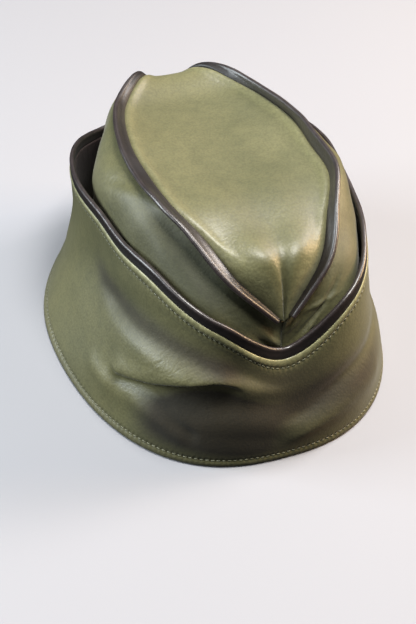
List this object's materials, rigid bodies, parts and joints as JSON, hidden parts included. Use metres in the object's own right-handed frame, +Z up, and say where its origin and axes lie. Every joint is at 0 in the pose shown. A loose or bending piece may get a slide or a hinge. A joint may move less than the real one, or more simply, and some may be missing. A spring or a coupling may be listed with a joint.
{
  "type": "garrison cap",
  "caption": "Soft leather garrison cap with a boat-shaped crown, a turned-up curtain that dips to a V at the back, and dark piped seams.",
  "frame": {"origin": "middle of the rim, on the surface that the cap rests on", "axes": "+Z up, -Y towards the front of the cap, +X towards the wearer's left"},
  "size_m": [0.1672, 0.2019, 0.1142],
  "materials": {
    "olive_leather": "smooth semi-gloss olive leather",
    "dark_leather": "smooth glossy brown-black leather"
  },
  "bodies": {
    "root": {"crown_top": "olive_leather", "crown_side_left": "olive_leather", "crown_side_right": "olive_leather", "crown_piping_left": "dark_leather", "crown_piping_right": "dark_leather", "curtain": "olive_leather", "curtain_lining": "dark_leather", "curtain_piping": "dark_leather"}
  },
  "joints": []
}
